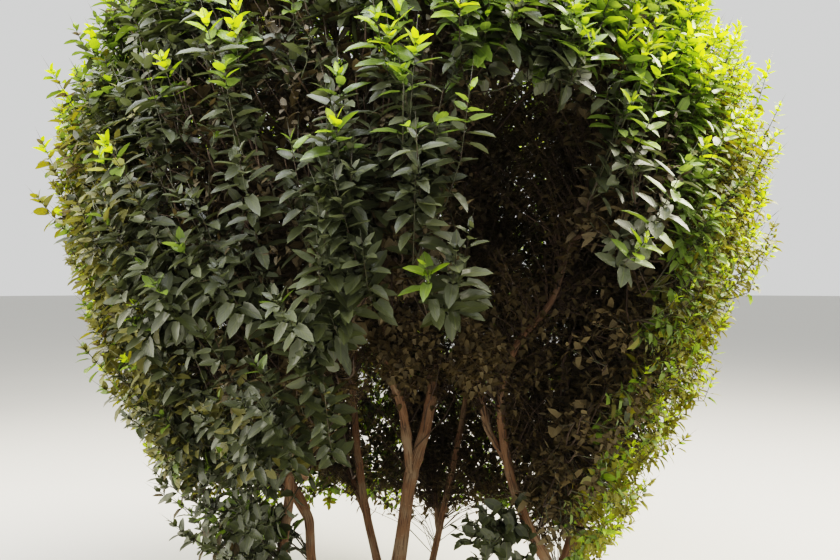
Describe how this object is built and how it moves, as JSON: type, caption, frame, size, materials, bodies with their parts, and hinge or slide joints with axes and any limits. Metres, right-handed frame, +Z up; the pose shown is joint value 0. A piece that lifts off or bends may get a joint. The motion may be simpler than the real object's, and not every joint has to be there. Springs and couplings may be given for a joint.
{
  "type": "golden privet shrub",
  "caption": "Rounded, clipped garden shrub: a hollow crown of oval green and yellow-green leaves on bare branching stems from one woody stool.",
  "frame": {"origin": "on the ground, at the middle of the flat cut under the main stem", "axes": "+Z up along the stems, -Y towards the front that the picture shows, +X to its right"},
  "size_m": [1.2892, 1.3233, 1.4941],
  "materials": {
    "bark": "finely ridged grey-brown bark, matt",
    "green_leaf": "smooth, slightly glossy leaves in mid green",
    "golden_leaf": "smooth, slightly glossy leaves in yellow-green"
  },
  "bodies": {
    "root": {"stool": "bark", "stem_main": "bark", "stem_left_front": "bark", "stem_left": "bark", "stem_centre_left": "bark", "stem_back": "bark", "stem_right": "bark", "bough_front_right": "bark", "bough_upper_front": "bark", "bough_front": "bark", "bough_upper_left": "bark", "bough_upper_right": "bark", "bough_lower_front_left": "bark", "bough_lower_left": "bark", "bough_lower_back_left": "bark", "bough_upper_back_left": "bark", "bough_lower_back": "bark", "bough_middle_back_right": "bark", "bough_lower_right": "bark", "bough_lower_back_right": "bark", "foliage_top": "golden_leaf", "foliage_lower_front_left": "green_leaf", "foliage_lower_left": "green_leaf", "foliage_lower_back_left": "green_leaf", "foliage_lower_back": "green_leaf", "foliage_lower_back_right": "green_leaf", "foliage_lower_right": "green_leaf", "foliage_middle_front": "green_leaf", "foliage_middle_front_right": "golden_leaf", "foliage_middle_right": "golden_leaf", "foliage_middle_back_right": "green_leaf", "foliage_middle_back_left": "green_leaf", "foliage_middle_left": "green_leaf", "foliage_middle_front_left": "green_leaf", "foliage_upper_front": "golden_leaf", "foliage_upper_right": "golden_leaf", "foliage_upper_back_right": "golden_leaf", "foliage_upper_back_left": "golden_leaf", "foliage_upper_left": "golden_leaf"}
  },
  "joints": []
}
